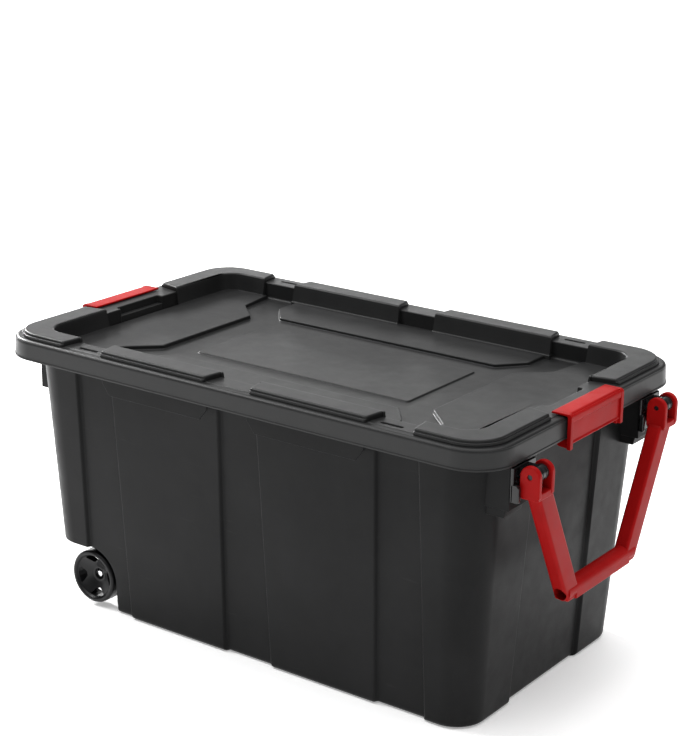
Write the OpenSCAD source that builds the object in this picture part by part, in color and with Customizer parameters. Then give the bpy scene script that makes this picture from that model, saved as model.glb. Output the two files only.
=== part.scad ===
// Wheeled storage tote: a drafted, fluted tub with a step for two wheels, a
// lift-off lid held by two over-rim latches, and a swinging pull handle.
// Millimetres. +X is the pull-handle end, -X the wheel end, +Z up.
// The origin is on the floor, at the centre of the tub.

/* [Overall] */
// Length of the lid over its skirt
lid_l = 888; // [870:2:906]
// Width of the lid over its skirt
lid_w = 543; // [533:2:553]
// Height of the flat land of the lid above the floor
land_z = 440; // [430:1:450]

/* [Tub] */
// Wall thickness of the tub
wall = 3; // [2.5:0.25:3.5]
// Inward lean of each wall, in mm for each mm of height
draft = 0.061; // [0.05:0.001:0.065]
// Distance from the lid skirt in to the tub wall at the top
wall_inset = 31.5; // [31:0.5:33]
// Depth of the flutes between the wide panels
flute_d = 6; // [4:0.5:7]
// Corner radius of the tub at the floor
corner_r = 46; // [40:1:50]
// Width of the fluted gap between the two side panels, at the rim
gap_mid = 68; // [56:2:80]
// Outer end of each side panel from the middle, at the rim
panel_end = 242; // [236:1:246]
// Inner end of each corner section from the middle, at the rim
corner_start = 312; // [306:1:316]
// Half width of the recessed middle of each end wall, at the rim
end_half = 90; // [84:1:96]

/* [Wheels] */
// Wheel diameter
wheel_d = 86; // [82:1:88]
// Wheel width
wheel_w = 28; // [24:1:30]
// Height of the axle above the floor
axle_z = 49; // [48:0.5:51]
// Distance of the axle from the middle of the tub
axle_x = 315; // [312:1:318]
// Axle diameter
axle_d = 8; // [7:0.5:9]

/* [Lid] */
// Corner radius of the lid skirt
skirt_r = 65; // [56:1:70]
// Height of the lid skirt below the land
skirt_h = 31; // [28:1:32]
// Height of the stacking rails above the land
rail_h = 7.5; // [7:0.5:8]
// Depth of the sunken panel below the land
recess_d = 27; // [24:0.5:27.5]
// Height of the raised fields on the sunken panel
field_h = 6.5; // [5:0.5:7]
// Rounding of the lid's top outer edge
edge_r = 6.5; // [6:0.5:7]

/* [Handle] */
// Distance of the handle pivots from the middle of the tub
pivot_x = 461; // [460:0.5:463]
// Height of the handle pivots
pivot_z = 394; // [392:1:395]
// Height of the grip's centre when the handle hangs
grip_z = 195; // [185:1:205]
// Outer diameter of the grip tube
grip_d = 26; // [24:1:28]

/* [Latches] */
// Width of each latch across its face
latch_w = 150; // [140:2:152]
// Height of the latch pivots
latch_z = 400.5; // [400:0.5:401]

/* [Hidden] */
$fn = 64;
e = 0.01;

charcoal = [0.16, 0.16, 0.165];
black = [0.06, 0.06, 0.065];
red = [0.72, 0.10, 0.10];
steel = [0.72, 0.73, 0.75];

// levels
skirt_z = land_z - skirt_h;
panel_z = land_z - recess_d;
rail_z = land_z + rail_h;
rim_z = land_z - 3.4;
// lid shell
lt = 3;
hx_l = lid_l / 2;
hy_l = lid_w / 2;
rec_x = hx_l - 56;
rec_y = hy_l - 54;
rec_r = 30;
rail_ox = hx_l - 16;
rail_oy = hy_l - 14;
tier = 3.3;
rec_gap = 7.5;
gap_a = 34.5;
gap_b = 247;
gap_c = 311;
end_gap = 85;

// half sizes and corner radius of the tub's outer wall at height z
function tub_x(z) = hx_l - wall_inset - draft * (land_z - z);
function tub_y(z) = hy_l - wall_inset - draft * (land_z - z);
function tub_r(z) = corner_r + 0.03 * z;
// the side panels taper by this share of the height as they go down
function taper(z, k) = k * (land_z - z);

// flute edges along a long side, from the middle out: [x, recessed after it]
function side_x(z, off) = let (g = off * 0.6) [
    gap_mid / 2 + taper(z, 0.025) + g,
    panel_end - taper(z, 0.025) - g,
    corner_start + taper(z, 0.013) + g];
function end_y(z, off) = end_half + taper(z, 0.017) + off * 0.6;
run = 3;

// one long side from -x to +x at y = -h, as points with flutes set in by flute_d
function side_pts(z, off) = let (s = side_x(z, off), h = tub_y(z) - off, d = flute_d) [
    [-s[2], -h], [-s[2] + run, -h + d], [-s[1] - run, -h + d], [-s[1], -h],
    [-s[0], -h], [-s[0] + run, -h + d], [s[0] - run, -h + d], [s[0], -h],
    [s[1], -h], [s[1] + run, -h + d], [s[2] - run, -h + d], [s[2], -h]];
// the +x end wall from -y to +y, with its recessed middle
function end_pts(z, off) = let (w = end_y(z, off), h = tub_x(z) - off, d = flute_d) [
    [h, -w], [h - d, -w + run], [h - d, w - run], [h, w]];
// corner arc, centre signs sx, sy, starting angle a0
nc = 9;
function arc_pts(z, off, sx, sy, a0) = let (r = tub_r(z) - off,
    cx = sx * (tub_x(z) - tub_r(z)), cy = sy * (tub_y(z) - tub_r(z)))
    [for (i = [0:nc]) [cx + r * cos(a0 + 90 * i / nc), cy + r * sin(a0 + 90 * i / nc)]];
function neg(p) = [for (q = p) [-q[0], -q[1]]];
// the whole wall outline at height z, set in by off, counter-clockwise
function outline(z, off) = concat(
    side_pts(z, off), arc_pts(z, off, 1, -1, 270),
    end_pts(z, off), arc_pts(z, off, 1, 1, 0),
    neg(side_pts(z, off)), arc_pts(z, off, -1, 1, 90),
    neg(end_pts(z, off)), arc_pts(z, off, -1, -1, 180));

// flat cap over an outline, as triangles and quads counter-clockwise from above:
// strips across the tub between the two end walls, and fans at the four corners
lowi = concat([for (i = [66:71]) i], [for (i = [0:17]) i]);
function opp(i) = i < 48 ? 47 - i : 119 - i;
cap = concat(
    [for (k = [0:len(lowi) - 2]) [lowi[k], lowi[k + 1], opp(lowi[k + 1]), opp(lowi[k])]],
    [for (k = [17:21]) [k, k + 1, 23]], [for (k = [17:21]) [opp(k + 1), opp(k), 24]],
    [for (k = [61:65]) [k, k + 1, 60]], [for (k = [61:65]) [opp(k + 1), opp(k), 59]],
    [[17, 23, 24, 30], [60, 66, 53, 59]]);
// solid between the outlines at two heights
module loft(z0, z1, off) {
    a = outline(z0, off);
    b = outline(z1, off);
    n = len(a);
    pts = concat([for (p = a) [p[0], p[1], z0]], [for (p = b) [p[0], p[1], z1]]);
    sides = [for (i = [0:n - 1]) let (j = (i + 1) % n) each [[i, i + n, j + n], [i, j + n, j]]];
    top = [for (f = cap) [for (k = [len(f) - 1:-1:0]) f[k] + n]];
    polyhedron(pts, concat(cap, top, sides), convexity = 6);
}

// rectangle with round corners, half sizes hx and hy
module rrect(hx, hy, r) {
    square([2 * hx, 2 * (hy - r)], center = true);
    square([2 * (hx - r), 2 * hy], center = true);
    for (sx = [-1, 1], sy = [-1, 1]) translate([sx * (hx - r), sy * (hy - r)]) circle(r);
}
module slab(z0, z1) { translate([0, 0, z0]) linear_extrude(z1 - z0) children(); }

// the space under the wheel end, open below and at the end; g makes it larger
arch_z = axle_z + 3;
module wheel_step(g) {
    translate([0, 400, 0]) rotate([90, 0, 0]) linear_extrude(800) {
        translate([-axle_x, arch_z]) circle(50 + g);
        translate([-600, -20]) square([600 - axle_x, arch_z + 20 + 50 + g]);
        translate([-axle_x - e, -20]) square([50 + g + e, arch_z + 20]);
    }
}

// web that hangs from the step and holds the axle, |y| from y0 to y1
module axle_web(y0, y1) {
    translate([0, y1, 0]) rotate([90, 0, 0]) linear_extrude(y1 - y0)
        polygon([[-axle_x - 30, arch_z + 51], [-axle_x - 13, axle_z - 12], [-axle_x + 13, axle_z - 12],
                 [-axle_x + 51, axle_z + 10], [-axle_x + 51, arch_z + 20], [-axle_x + 36, arch_z + 51]]);
}

// hand-grip lip below the rim on the side sy, x from x0 to x1
lip_y = hy_l - 12.5;
module grip_lip(sx, sy) {
    translate([0, sy > 0 ? lip_y : -lip_y + 3, 0]) rotate([90, 0, 0]) linear_extrude(3)
        polygon([[sx * 36, land_z - 9], [sx * 36, skirt_z - 10], [sx * 50, skirt_z - 28],
                 [sx * 224, skirt_z - 28], [sx * 238, skirt_z - 10], [sx * 238, land_z - 9]]);
}

// socket block for a handle bracket, on the +x end wall at the side s
blk_x = hx_l - 8;
module socket_block(s) {
    difference() {
        union() {
            translate([tub_x(390) - 12, s > 0 ? 155 : -207, skirt_z - 66.5])
                cube([blk_x - tub_x(390) + 12, 52, 65]);
            // a little shallower where it stands inside the lid's skirt, and
            // stepped back below
            translate([tub_x(390) - 12, s > 0 ? 155 : -207, skirt_z - 5])
                cube([blk_x - tub_x(390) + 10, 52, 29]);
            translate([tub_x(390) - 12, s > 0 ? 158 : -204, skirt_z - 79])
                cube([blk_x - tub_x(390) + 6, 46, 14]);
        }
        translate([blk_x - 14, s * 182 - 10.3, skirt_z - 51]) cube([15, 20.6, 45]);
    }
}

// plain stiffening block under the rim at the wheel end, at the side s
module end_block(s) {
    translate([-blk_x, s > 0 ? 107 : -187, skirt_z - 74])
        cube([blk_x - tub_x(390) + 12, 80, 74 + 24]);
}

// lug pair that holds a latch, on the end sx
lug_x = hx_l - 12;
module latch_lugs(sx) {
    for (sy = [-1, 1]) difference() {
        translate([0, sy * 58 + 4, 0]) rotate([90, 0, 0]) linear_extrude(8) {
            translate([sx * lug_x, latch_z]) circle(5.5);
            polygon([[sx * (tub_x(390) - 9), latch_z + 26], [sx * (tub_x(390) - 9), latch_z - 10],
                     [sx * (lug_x), latch_z - 5.5], [sx * (lug_x + 5.5), latch_z],
                     [sx * (lug_x + 2), latch_z + 26]]);
        }
        translate([sx * lug_x, sy * 58 + 5, latch_z]) rotate([90, 0, 0]) cylinder(r = 3.05, h = 10);
    }
}

module tub() {
    color(charcoal) difference() {
        union() {
            difference() {
                union() {
                    loft(0, rim_z, 0);
                    // rim flange with its turned-down edge
                    difference() {
                        slab(rim_z - 20, rim_z - 2.6) rrect(hx_l - 12.5, hy_l - 12.5, skirt_r - 12.5);
                        slab(rim_z - 21, rim_z - 5.6) rrect(hx_l - 15.5, hy_l - 15.5, skirt_r - 15.5);
                    }
                    for (s = [-1, 1]) { socket_block(s); end_block(s); }
                    for (s = [-1, 1]) latch_lugs(s);
                }
                // inside of the tub, stopping short of the step
                difference() {
                    loft(wall, land_z + 5, wall);
                    wheel_step(wall);
                }
                wheel_step(0);
            }
            for (sx = [-1, 1], sy = [-1, 1]) grip_lip(sx, sy);
            for (s = [-1, 1]) { axle_web(s * 172 - 4, s * 172 + 4); axle_web(s * 70 - 4, s * 70 + 4); }
        }
        translate([-axle_x, 200, axle_z]) rotate([90, 0, 0]) cylinder(r = axle_d / 2 + 0.05, h = 400);
        // strap slots through the rim
        for (sx = [-1, 1], sy = [-1, 1]) translate([sx * 275 - 18, sy * 246 - 3, rim_z - 8]) cube([36, 6, 10]);
    }
}

// plan of the sunken part of the lid, g larger all round
module recess_plan(g) {
    rrect(rec_x + g, rec_y + g, rec_r + g);
    square([2 * (gap_a + g), 2 * (rec_y + rec_gap + g)], center = true);
    for (s = [-1, 1]) translate([s * (gap_b + gap_c) / 2, 0])
        square([gap_c - gap_b + 2 * g, 2 * (rec_y + rec_gap + g)], center = true);
}

// the gaps between the stacking rails, with slightly slanted ends
module rail_gaps() {
    b = 7;
    yo = rail_oy + 5;
    xo = rail_ox + 5;
    for (sy = [-1, 1]) {
        polygon([[-gap_a, 0], [-gap_a, sy * rec_y], [-gap_a - b, sy * yo],
                 [gap_a + b, sy * yo], [gap_a, sy * rec_y], [gap_a, 0]]);
        for (sx = [-1, 1]) polygon([[sx * gap_b, 0], [sx * gap_b, sy * rec_y],
                 [sx * (gap_b - b), sy * yo], [sx * (gap_c + b - 1), sy * yo],
                 [sx * gap_c, sy * rec_y], [sx * gap_c, 0]]);
    }
    for (sx = [-1, 1]) polygon([[0, -end_gap], [sx * rec_x, -end_gap], [sx * xo, -end_gap - 10],
                 [sx * xo, end_gap + 10], [sx * rec_x, end_gap], [0, end_gap]]);
}

// what is cut away to round the lid's top outer edge
module edge_profile() {
    difference() {
        translate([-edge_r, -edge_r]) square(edge_r + 1);
        translate([-edge_r, -edge_r]) circle(edge_r);
    }
}
module edge_cut() {
    lx2 = 2 * (hx_l - skirt_r);
    ly2 = 2 * (hy_l - skirt_r);
    for (s = [0, 180]) rotate([0, 0, s]) {
        translate([hx_l, ly2 / 2 + e, land_z]) rotate([90, 0, 0]) linear_extrude(ly2 + 2 * e) edge_profile();
        translate([-lx2 / 2 - e, hy_l, land_z]) rotate([90, 0, 90]) linear_extrude(lx2 + 2 * e) edge_profile();
    }
    for (q = [0:3]) translate([(q == 0 || q == 3 ? 1 : -1) * (hx_l - skirt_r), (q < 2 ? 1 : -1) * (hy_l - skirt_r), land_z])
        rotate([0, 0, 90 * q]) rotate_extrude(angle = 90) translate([skirt_r, 0]) edge_profile();
}

module lid() {
    color(charcoal) difference() {
        union() {
            difference() {
                slab(skirt_z, land_z) rrect(hx_l, hy_l, skirt_r);
                slab(skirt_z - 1, land_z - lt) rrect(hx_l - 2.5, hy_l - 2.5, skirt_r - 2.5);
            }
            // stacking rails, stepped out at the foot
            slab(land_z - 1, land_z + 3.8) difference() {
                rrect(rail_ox + tier, rail_oy + tier, skirt_r - 14 + tier);
                rail_gaps();
            }
            slab(land_z + 1, rail_z) difference() {
                rrect(rail_ox, rail_oy, skirt_r - 14);
                rail_gaps();
            }
            // walls and floor of the sunken panel
            slab(panel_z - lt, land_z - 1) recess_plan(lt);
            // finger pockets behind the latches
            for (s = [-1, 1]) translate([s * (rec_x + 5.5), 0, 0])
                slab(land_z - 15, land_z - 1) square([17, 106], center = true);
        }
        difference() {
            slab(panel_z, rail_z + 1) recess_plan(0);
            // raised fields, kept out of the cut: a low one in the middle, one
            // along each side and a higher one across each end
            slab(panel_z - 1, panel_z + field_h - 4.5) square([390, 180], center = true);
            slab(panel_z - 1, panel_z + field_h - 1) for (s = [-1, 1])
                polygon([[-205, s * 128], [205, s * 128], [240, s * 170], [240, s * (rec_y + rec_gap)],
                         [-240, s * (rec_y + rec_gap)], [-240, s * 170]]);
            slab(panel_z - 1, panel_z + field_h) for (s = [-1, 1])
                polygon([[s * (rec_x + 1), -rec_y - rec_gap], [s * 304, -rec_y - rec_gap], [s * 294, -150], [s * 249, -107],
                         [s * 249, 107], [s * 294, 150], [s * 304, rec_y + rec_gap], [s * (rec_x + 1), rec_y + rec_gap]]);
        }
        for (s = [-1, 1]) translate([s * (rec_x + 4.5), 0, 0])
            slab(land_z - 12, rail_z + 1) square([14, 100], center = true);
        // strap slots
        for (sx = [-1, 1], sy = [-1, 1]) translate([sx * 275 - 18, sy * 246 - 3, land_z - 8]) cube([36, 6, 10]);
        edge_cut();
    }
}

// section of a latch in x and z: over the rim, down the face and back under
lx = hx_l + 0.8;
module latch_section() {
    polygon([[hx_l - 25, land_z + 1], [lx, land_z + 1], [lx, latch_z],
             [lx + 3.2, latch_z], [lx + 3.2, land_z - 1], [lx + 0.2, land_z + 3.6],
             [hx_l - 24, land_z + 4], [hx_l - 25, land_z + 3]]);
}
module latch() {
    translate([0, latch_w / 2, 0]) rotate([90, 0, 0]) linear_extrude(latch_w) latch_section();
    // raised borders on the face
    for (s = [-1, 1]) translate([0, s * (latch_w / 2 - 4) + 4, 0]) rotate([90, 0, 0]) linear_extrude(8)
        polygon([[lx, latch_z - 7], [lx + 6, latch_z - 7], [lx + 6, land_z - 3], [lx + 2, land_z + 3], [lx, land_z + 1.4]]);
    // arms back to the pivots, and the pegs that turn in the lugs
    for (s = [-1, 1]) {
        translate([0, s * 67 + 4, 0]) rotate([90, 0, 0]) linear_extrude(8) {
            translate([lug_x, latch_z]) circle(6);
            polygon([[lug_x, latch_z - 6], [lx + 3, latch_z - 7], [lx + 3, skirt_z - 1.5], [lx, skirt_z - 1.5], [lug_x, latch_z + 6]]);
        }
        translate([lug_x, s * 59 + 5.8, latch_z]) rotate([90, 0, 0]) cylinder(r = 3, h = 11.6);
    }
}
module latch_handle_end() { color(red) latch(); }
module latch_wheel_end() { color(red) rotate([0, 0, 180]) latch(); }

// handle: fork ears at the top of two arms that close in to a tube grip
fork_o = 199;
fork_i = 158;
ear_t = 8;
ear_r = 15;
arm_t = 22;
slope = 0.505;
function arm_o(z) = 146.9 + slope * (z - 280);
function arm_i(z) = 110 + slope * (z - 280);
module pull_handle() {
    ah = arm_t / 2;
    zb = grip_z - grip_d / 2;
    color(red) difference() {
        union() {
            for (s = [-1, 1]) {
                // ears
                for (y = [fork_o - ear_t, fork_i]) translate([pivot_x, s > 0 ? y + ear_t : -y, pivot_z]) rotate([90, 0, 0]) {
                    cylinder(r = ear_r, h = ear_t);
                    translate([-ear_r, -32, 0]) cube([2 * ear_r, 32, ear_t]);
                }
                // bridge under the pivot barrel
                translate([pivot_x - ear_r, s > 0 ? fork_i : -fork_o, pivot_z - 32])
                    cube([2 * ear_r, fork_o - fork_i, 10]);
                // arm, with chamfered front edges
                intersection() {
                    translate([pivot_x - ah, 0, 0]) rotate([90, 0, 90]) linear_extrude(arm_t)
                        polygon([[s * arm_o(pivot_z - 30), pivot_z - 30], [s * arm_o(zb), zb], [s * arm_i(zb), zb],
                                 [s * fork_i, pivot_z - 32], [s * fork_i, pivot_z - 26], [s * arm_o(pivot_z - 30), pivot_z - 26]]);
                    union() {
                        translate([pivot_x - ah - 1, -300, 0]) cube([arm_t - 5, 600, 500]);
                        translate([pivot_x - ah, 0, 0]) rotate([90, 0, 90]) linear_extrude(arm_t + 1)
                            polygon([[s * (arm_o(pivot_z - 20) - 6), pivot_z - 20], [s * (arm_o(zb) - 6), zb - 1],
                                     [s * (arm_i(zb) + 6), zb - 1], [s * (fork_i + 4), pivot_z - 32], [s * (fork_i + 4), pivot_z - 20]]);
                    }
                }
            }
            // grip tube and its flat front rib
            translate([pivot_x, 95, grip_z]) rotate([90, 0, 0]) cylinder(d = grip_d, h = 190);
            translate([pivot_x, -95, zb]) cube([ah + 2, 190, 14]);
        }
        translate([pivot_x, 130, grip_z]) rotate([90, 0, 0]) cylinder(d = grip_d - 6, h = 260);
        for (s = [-1, 1]) translate([pivot_x, s * 180 + 25, pivot_z]) rotate([90, 0, 0]) cylinder(r = 3.55, h = 50);
    }
}

// bracket: plate with a tongue in the socket block, a cheek each side of the
// handle's fork, and the pivot barrel
module handle_bracket(s) {
    color(black) difference() {
        union() {
            translate([blk_x + 0.3, s > 0 ? 150 : -207, skirt_z - 53]) cube([5, 57, 49]);
            translate([blk_x + 0.3, s > 0 ? 200.5 : -207, skirt_z - 53]) cube([13.7, 6.5, 26]);
            translate([blk_x + 0.3, s > 0 ? 150 : -156.5, skirt_z - 53]) cube([9.7, 6.5, 26]);
            translate([blk_x - 13, s * 182 - 10, skirt_z - 50.7]) cube([15, 20, 44.4]);
            translate([pivot_x, s * 178.5 + 11.5, pivot_z]) rotate([90, 0, 0]) cylinder(r = 11, h = 23);
            translate([blk_x + 4, s * 178.5 - 11.5, pivot_z - 8]) cube([pivot_x - blk_x - 4, 23, 17]);
        }
        translate([pivot_x, s * 178.5 + 15, pivot_z]) rotate([90, 0, 0]) cylinder(r = 3.55, h = 30);
    }
}
module handle_bracket_left() { handle_bracket(-1); }
module handle_bracket_right() { handle_bracket(1); }
module handle_pin(s) {
    color(steel) translate([pivot_x, s * 178.5 + 19, pivot_z]) rotate([90, 0, 0]) cylinder(r = 3.5, h = 38);
}
module handle_pin_left() { handle_pin(-1); }
module handle_pin_right() { handle_pin(1); }

// wheel, outer face towards +y before mirroring: rim, a dish that slopes in to
// the hub, and four windows between broad spokes; the axle's end and its cap
// lie sunk in the hub
wheel_y = 183;
module wheel_body() {
    R = wheel_d / 2;
    translate([-axle_x, 0, axle_z]) rotate([-90, 0, 0]) difference() {
        rotate_extrude($fn = 96) polygon([
            [axle_d / 2 + 0.05, wheel_y - 6], [11, wheel_y - 6], [11, wheel_y + 3], [R - 8, wheel_y + 10],
            [R - 8, wheel_y + 1], [R - 2, wheel_y], [R, wheel_y + 3], [R, wheel_y + wheel_w - 5],
            [R - 4, wheel_y + wheel_w], [R - 6, wheel_y + wheel_w], [R - 8, wheel_y + wheel_w - 3],
            [12.5, wheel_y + 13], [8.5, wheel_y + 12], [8.5, wheel_y + 5], [axle_d / 2 + 0.05, wheel_y + 5]]);
        for (a = [0:90:359]) rotate([0, 0, a - 8.5]) linear_extrude(300)
            polygon([[21.5, -3.5], [R - 13, -15], [R - 10.8, -10], [R - 9.4, -4],
                     [R - 9.4, 4], [R - 10.8, 10], [R - 13, 15], [21.5, 3.5]]);
    }
}
module wheel_right() { color(black) wheel_body(); }
module wheel_left() { color(black) mirror([0, 1, 0]) wheel_body(); }
module axle() {
    color(steel) translate([-axle_x, wheel_y + 10, axle_z]) rotate([90, 0, 0]) cylinder(r = axle_d / 2, h = 2 * wheel_y + 20);
}
// push-on cap over the end of the axle
module axle_cap(s) {
    color(steel) translate([-axle_x, 0, axle_z]) rotate([s > 0 ? -90 : 90, 0, 0]) difference() {
        union() {
            translate([0, 0, wheel_y + 5.6]) cylinder(r = 7.5, h = 1.6);
            translate([0, 0, wheel_y + 7.2]) cylinder(r = 5.4, h = 4.4);
        }
        translate([0, 0, wheel_y + 5]) cylinder(r = axle_d / 2 + 0.02, h = 5.3);
    }
}
module axle_cap_left() { axle_cap(-1); }
module axle_cap_right() { axle_cap(1); }

tub();
lid();
latch_handle_end();
latch_wheel_end();
pull_handle();
handle_bracket_left();
handle_bracket_right();
handle_pin_left();
handle_pin_right();
wheel_left();
wheel_right();
axle();
axle_cap_left();
axle_cap_right();
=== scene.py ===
import math

import bmesh
import bpy
from mathutils import Matrix, Vector
from mathutils.geometry import delaunay_2d_cdt


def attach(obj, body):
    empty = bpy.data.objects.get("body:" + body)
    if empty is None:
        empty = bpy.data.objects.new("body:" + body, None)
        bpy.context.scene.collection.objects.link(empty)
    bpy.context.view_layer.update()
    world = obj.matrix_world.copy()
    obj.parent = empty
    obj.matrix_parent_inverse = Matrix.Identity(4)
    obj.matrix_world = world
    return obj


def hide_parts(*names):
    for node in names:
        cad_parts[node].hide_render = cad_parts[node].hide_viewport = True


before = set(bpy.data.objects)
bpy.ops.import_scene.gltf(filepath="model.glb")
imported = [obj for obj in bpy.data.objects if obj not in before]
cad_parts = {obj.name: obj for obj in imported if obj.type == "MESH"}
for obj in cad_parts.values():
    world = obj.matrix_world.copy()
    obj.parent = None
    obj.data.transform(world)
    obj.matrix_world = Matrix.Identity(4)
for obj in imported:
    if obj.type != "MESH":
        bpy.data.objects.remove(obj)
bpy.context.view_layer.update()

MM = 0.001
scene = bpy.context.scene

# ---------------------------------------------------------------- shape tools


class Geo:
    """Vertices in millimetres and faces, gathered from several closed shapes."""

    def __init__(self):
        self.v, self.f = [], []

    def add(self, verts, faces):
        base = len(self.v)
        self.v += [tuple(p) for p in verts]
        self.f += [[i + base for i in f] for f in faces]
        return self

    def join(self, other, place=None):
        v = other.v if place is None else [tuple(place @ Vector(p)) for p in other.v]
        flip = place is not None and place.determinant() < 0
        f = [list(reversed(q)) for q in other.f] if flip else other.f
        return self.add(v, f)


def arc(cx, cy, r, a0, a1, n):
    return [(cx + r * math.cos(math.radians(a0 + (a1 - a0) * i / n)),
             cy + r * math.sin(math.radians(a0 + (a1 - a0) * i / n))) for i in range(n + 1)]


def rr(hx, hy, r, n=10):
    """Rectangle with round corners, counter-clockwise."""
    p = []
    for sx, sy, a in ((1, -1, 270), (1, 1, 0), (-1, 1, 90), (-1, -1, 180)):
        p += arc(sx * (hx - r), sy * (hy - r), r, a, a + 90, n)
    return p


def area2(p):
    return sum(a[0] * b[1] - b[0] * a[1] for a, b in zip(p, p[1:] + p[:1]))


def ccw(p):
    return list(p) if area2(p) > 0 else list(reversed(p))


def round_poly(pts, r, n=3):
    """Fillet each corner of a polygon. r is one radius, or one for each corner."""
    out, m = [], len(pts)
    for i in range(m):
        a, b, c = Vector(pts[i - 1]), Vector(pts[i]), Vector(pts[(i + 1) % m])
        rad = r[i] if isinstance(r, (list, tuple)) else r
        u, w = (a - b), (c - b)
        lu, lw = u.length, w.length
        u.normalize(); w.normalize()
        cosang = max(-1, min(1, u.dot(w)))
        ang = math.acos(cosang)
        if rad <= 0 or ang > math.radians(178):
            out += [tuple(b)] * 1
            continue
        t = min(rad / math.tan(ang / 2), 0.46 * lu, 0.46 * lw)
        rad = t * math.tan(ang / 2)
        centre = b + (u + w).normalized() * (rad / math.sin(ang / 2))
        s, e = b + u * t - centre, b + w * t - centre
        a0, a1 = math.atan2(s.y, s.x), math.atan2(e.y, e.x)
        d = (a1 - a0 + math.pi) % (2 * math.pi) - math.pi
        for k in range(n + 1):
            q = a0 + d * k / n
            out.append((centre.x + rad * math.cos(q), centre.y + rad * math.sin(q)))
    return out


def inset(pts, d):
    """Move every edge of a counter-clockwise polygon inward by d."""
    out, m = [], len(pts)
    for i in range(m):
        a, b, c = pts[i - 1], pts[i], pts[(i + 1) % m]
        e1, e2 = Vector((b[0] - a[0], b[1] - a[1])), Vector((c[0] - b[0], c[1] - b[1]))
        if e1.length < 1e-9 or e2.length < 1e-9:
            e1 = e1 if e1.length > e2.length else e2
            e2 = e1
        e1.normalize(); e2.normalize()
        n1, n2 = Vector((-e1.y, e1.x)), Vector((-e2.y, e2.x))
        k = max(0.35, 1 + n1.dot(n2))
        m2 = (n1 + n2) / k
        out.append((b[0] + m2.x * d, b[1] + m2.y * d))
    return out


def ring_faces(n, base_a, base_b, closed=True):
    return [[base_a + i, base_a + (i + 1) % n, base_b + (i + 1) % n, base_b + i]
            for i in range(n if closed else n - 1)]


def loft(rings, cap_start=False, cap_end=False, geo=None, flip=False):
    """Quads between rings of 3-D points of the same length."""
    n = len(rings[0])
    v, f = [], []
    for r in rings:
        v += list(r)
    for k in range(len(rings) - 1):
        f += ring_faces(n, k * n, (k + 1) * n)
    if cap_start:
        f.append(list(reversed(range(n))))
    if cap_end:
        f.append([(len(rings) - 1) * n + i for i in range(n)])
    if flip:
        f = [list(reversed(q)) for q in f]
    g = geo or Geo()
    return g.add(v, f)


def stack(outline, levels, cap_bottom=False, cap_top=True, geo=None):
    """A counter-clockwise outline lofted up through (inset, z) levels."""
    return loft([[(x, y, z) for x, y in inset(outline, d)] for d, z in levels],
                cap_bottom, cap_top, geo)


def inside(p, loop):
    hit = False
    for (x1, y1), (x2, y2) in zip(loop, loop[1:] + loop[:1]):
        if (y1 > p[1]) != (y2 > p[1]) and p[0] < (x2 - x1) * (p[1] - y1) / (y2 - y1) + x1:
            hit = not hit
    return hit


def plate(outer, holes, z, up=True, geo=None):
    """A flat face with holes, as triangles. z may be a function of x and y."""
    loops = [outer] + list(holes)
    co, ed = [], []
    for lp in loops:
        b = len(co)
        co += [Vector((x, y)) for x, y in lp]
        ed += [(b + i, b + (i + 1) % len(lp)) for i in range(len(lp))]
    res = delaunay_2d_cdt(co, ed, [], 0, 1e-7)
    v2, tris = res[0], res[2]
    zf = z if callable(z) else (lambda x, y: z)
    faces = []
    for t in tris:
        c = (sum(v2[i].x for i in t) / len(t), sum(v2[i].y for i in t) / len(t))
        if inside(c, outer) and not any(inside(c, h) for h in holes):
            q = [v2[i] for i in t]
            s = sum(a.x * b.y - b.x * a.y for a, b in zip(q, q[1:] + q[:1]))
            t = list(t) if s > 0 else list(reversed(t))
            faces.append(t if up else list(reversed(t)))
    return (geo or Geo()).add([(p.x, p.y, zf(p.x, p.y)) for p in v2], faces)


def prism(pts, axis, lo, hi, geo=None):
    """Extrude a 2-D outline along an axis: 'x' takes (y, z), 'y' takes (x, z), 'z' takes (x, y)."""
    p = ccw(pts)
    if axis == "z":
        put, p = (lambda a, b, h: (a, b, h)), p
    elif axis == "x":
        put = lambda a, b, h: (h, a, b)
    else:
        put, p = (lambda a, b, h: (a, h, b)), list(reversed(p))
    return loft([[put(a, b, h) for a, b in p] for h in (lo, hi)], True, True, geo)


def bevelled(geo, width, segs=3, angle=28, skip=None):
    """Round the sharp edges of a closed shape in bmesh."""
    bm = bmesh.new()
    vs = [bm.verts.new(p) for p in geo.v]
    for f in geo.f:
        try:
            bm.faces.new([vs[i] for i in f])
        except ValueError:
            pass
    bmesh.ops.remove_doubles(bm, verts=bm.verts, dist=0.01)
    bmesh.ops.recalc_face_normals(bm, faces=bm.faces)
    ed = [e for e in bm.edges if len(e.link_faces) == 2
          and e.calc_face_angle(0) > math.radians(angle) and not (skip and skip(e))]
    bmesh.ops.bevel(bm, geom=ed, offset=width, offset_type="OFFSET", segments=segs,
                    profile=0.5, affect="EDGES", clamp_overlap=True)
    bm.verts.index_update()
    out = Geo()
    out.add([tuple(v.co) for v in bm.verts], [[v.index for v in f.verts] for f in bm.faces])
    bm.free()
    return out


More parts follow.
